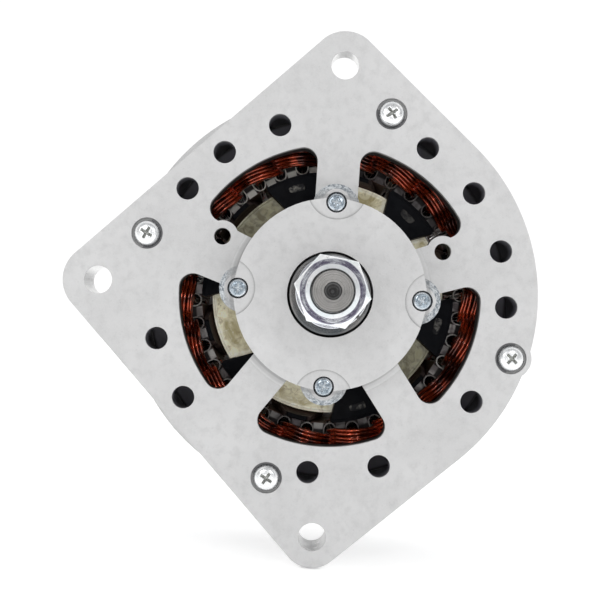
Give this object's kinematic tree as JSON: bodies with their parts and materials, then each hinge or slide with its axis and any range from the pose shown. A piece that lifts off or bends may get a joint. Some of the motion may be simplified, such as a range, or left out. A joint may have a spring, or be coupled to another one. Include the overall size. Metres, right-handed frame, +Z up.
{
  "type": "alternator",
  "caption": "Claw-pole vehicle alternator with a flat three-lug drive-end plate, open cooling windows and a rotor that spins on two ball bearings.",
  "frame": {"origin": "on the shaft axis at the front face of the pulley nut, where the free threaded shaft end starts", "axes": "Y along the shaft from the drive end to the rear, +Z up through the top lug, +X to the right seen from the drive end"},
  "size_m": [0.1731, 0.182, 0.1958],
  "materials": {
    "cast_aluminium": "satin cast, lightly sand-blasted",
    "machined_aluminium": "machined",
    "zinc_steel": "bright zinc plate",
    "plain_steel": "turned, light oil",
    "bearing_steel": "ground",
    "dark_steel": "black varnish",
    "lamination": "stacked sheet, varnished",
    "enamelled_copper": "enamelled, glossy varnish",
    "slip_ring_copper": "turned",
    "insulation_paper": "varnished paper",
    "bobbin_plastic": "translucent yellowish",
    "black_plastic": "moulded, matt",
    "brown_plastic": "moulded",
    "circuit_board": "varnished board",
    "carbon": "pressed carbon",
    "rubber": "matt",
    "terminal_brass": "tin plate",
    "spring_steel": "bright wire"
  },
  "bodies": {
    "housing": {"drive_end_bracket": "cast_aluminium", "bearing_retainer_plate": "plain_steel", "retainer_screws": "zinc_steel", "through_bolts": "zinc_steel", "front_bearing_outer_ring": "bearing_steel", "front_bearing_seals": "rubber", "stator_core": "lamination", "slot_liners": "insulation_paper", "winding_phase_u": "enamelled_copper", "winding_phase_v": "enamelled_copper", "winding_phase_w": "enamelled_copper", "phase_leads": "enamelled_copper", "slip_ring_end_bracket": "cast_aluminium", "rear_bearing_outer_ring": "bearing_steel", "rear_bearing_seals": "rubber", "positive_heat_sink": "machined_aluminium", "negative_heat_sink": "machined_aluminium", "positive_diodes": "terminal_brass", "negative_diodes": "terminal_brass", "exciter_diode_board": "circuit_board", "rectifier_screws": "zinc_steel", "brush_holder": "black_plastic", "regulator_body": "machined_aluminium", "regulator_screws": "zinc_steel", "output_stud": "terminal_brass", "output_stud_insulator": "black_plastic", "output_stud_nuts": "terminal_brass", "exciter_terminal": "terminal_brass", "phase_terminal": "terminal_brass", "terminal_insulators": "black_plastic", "terminal_nuts": "terminal_brass", "capacitor": "machined_aluminium", "capacitor_screw": "zinc_steel"},
    "rotor": {"rotor_shaft": "plain_steel", "front_claw_pole": "dark_steel", "rear_claw_pole": "dark_steel", "pole_core": "dark_steel", "field_coil": "enamelled_copper", "coil_bobbin": "bobbin_plastic", "field_leads": "enamelled_copper", "slip_rings": "slip_ring_copper", "slip_ring_insulator": "brown_plastic", "spacer_collar": "plain_steel", "woodruff_key": "plain_steel", "lock_washer": "plain_steel", "pulley_nut": "zinc_steel", "front_bearing_inner_ring": "bearing_steel", "rear_bearing_inner_ring": "bearing_steel"},
    "front_ball_set": {"front_bearing_balls": "bearing_steel", "front_bearing_cage": "brown_plastic"},
    "rear_ball_set": {"rear_bearing_balls": "bearing_steel", "rear_bearing_cage": "brown_plastic"},
    "inner_brush": {"brush_inner": "carbon", "brush_spring_inner": "spring_steel"},
    "outer_brush": {"brush_outer": "carbon", "brush_spring_outer": "spring_steel"}
  },
  "joints": [
    {"name": "rotor_spin", "type": "hinge", "parent": "housing", "child": "rotor", "pos_m": [0, 0, 0], "axis": [0, 1, 0], "continuous": true},
    {"name": "front_ball_spin", "type": "hinge", "parent": "housing", "child": "front_ball_set", "pos_m": [0, 0.05, 0], "axis": [0, 1, 0], "continuous": true},
    {"name": "rear_ball_spin", "type": "hinge", "parent": "housing", "child": "rear_ball_set", "pos_m": [0, 0.153, 0], "axis": [0, 1, 0], "continuous": true},
    {"name": "inner_brush_slide", "type": "slide", "parent": "housing", "child": "inner_brush", "axis": [0, 0, 1], "range_m": [0, 0.006], "stiffness_N_per_m": 200, "springref_m": -0.01, "deforming": ["brush_spring_inner"]},
    {"name": "outer_brush_slide", "type": "slide", "parent": "housing", "child": "outer_brush", "axis": [0, 0, 1], "range_m": [0, 0.006], "stiffness_N_per_m": 200, "springref_m": -0.01, "deforming": ["brush_spring_outer"]}
  ],
  "couplings": [
    {"joint": "front_ball_spin", "follows": "rotor_spin", "ratio": 0.3641},
    {"joint": "rear_ball_spin", "follows": "rotor_spin", "ratio": 0.3825}
  ]
}
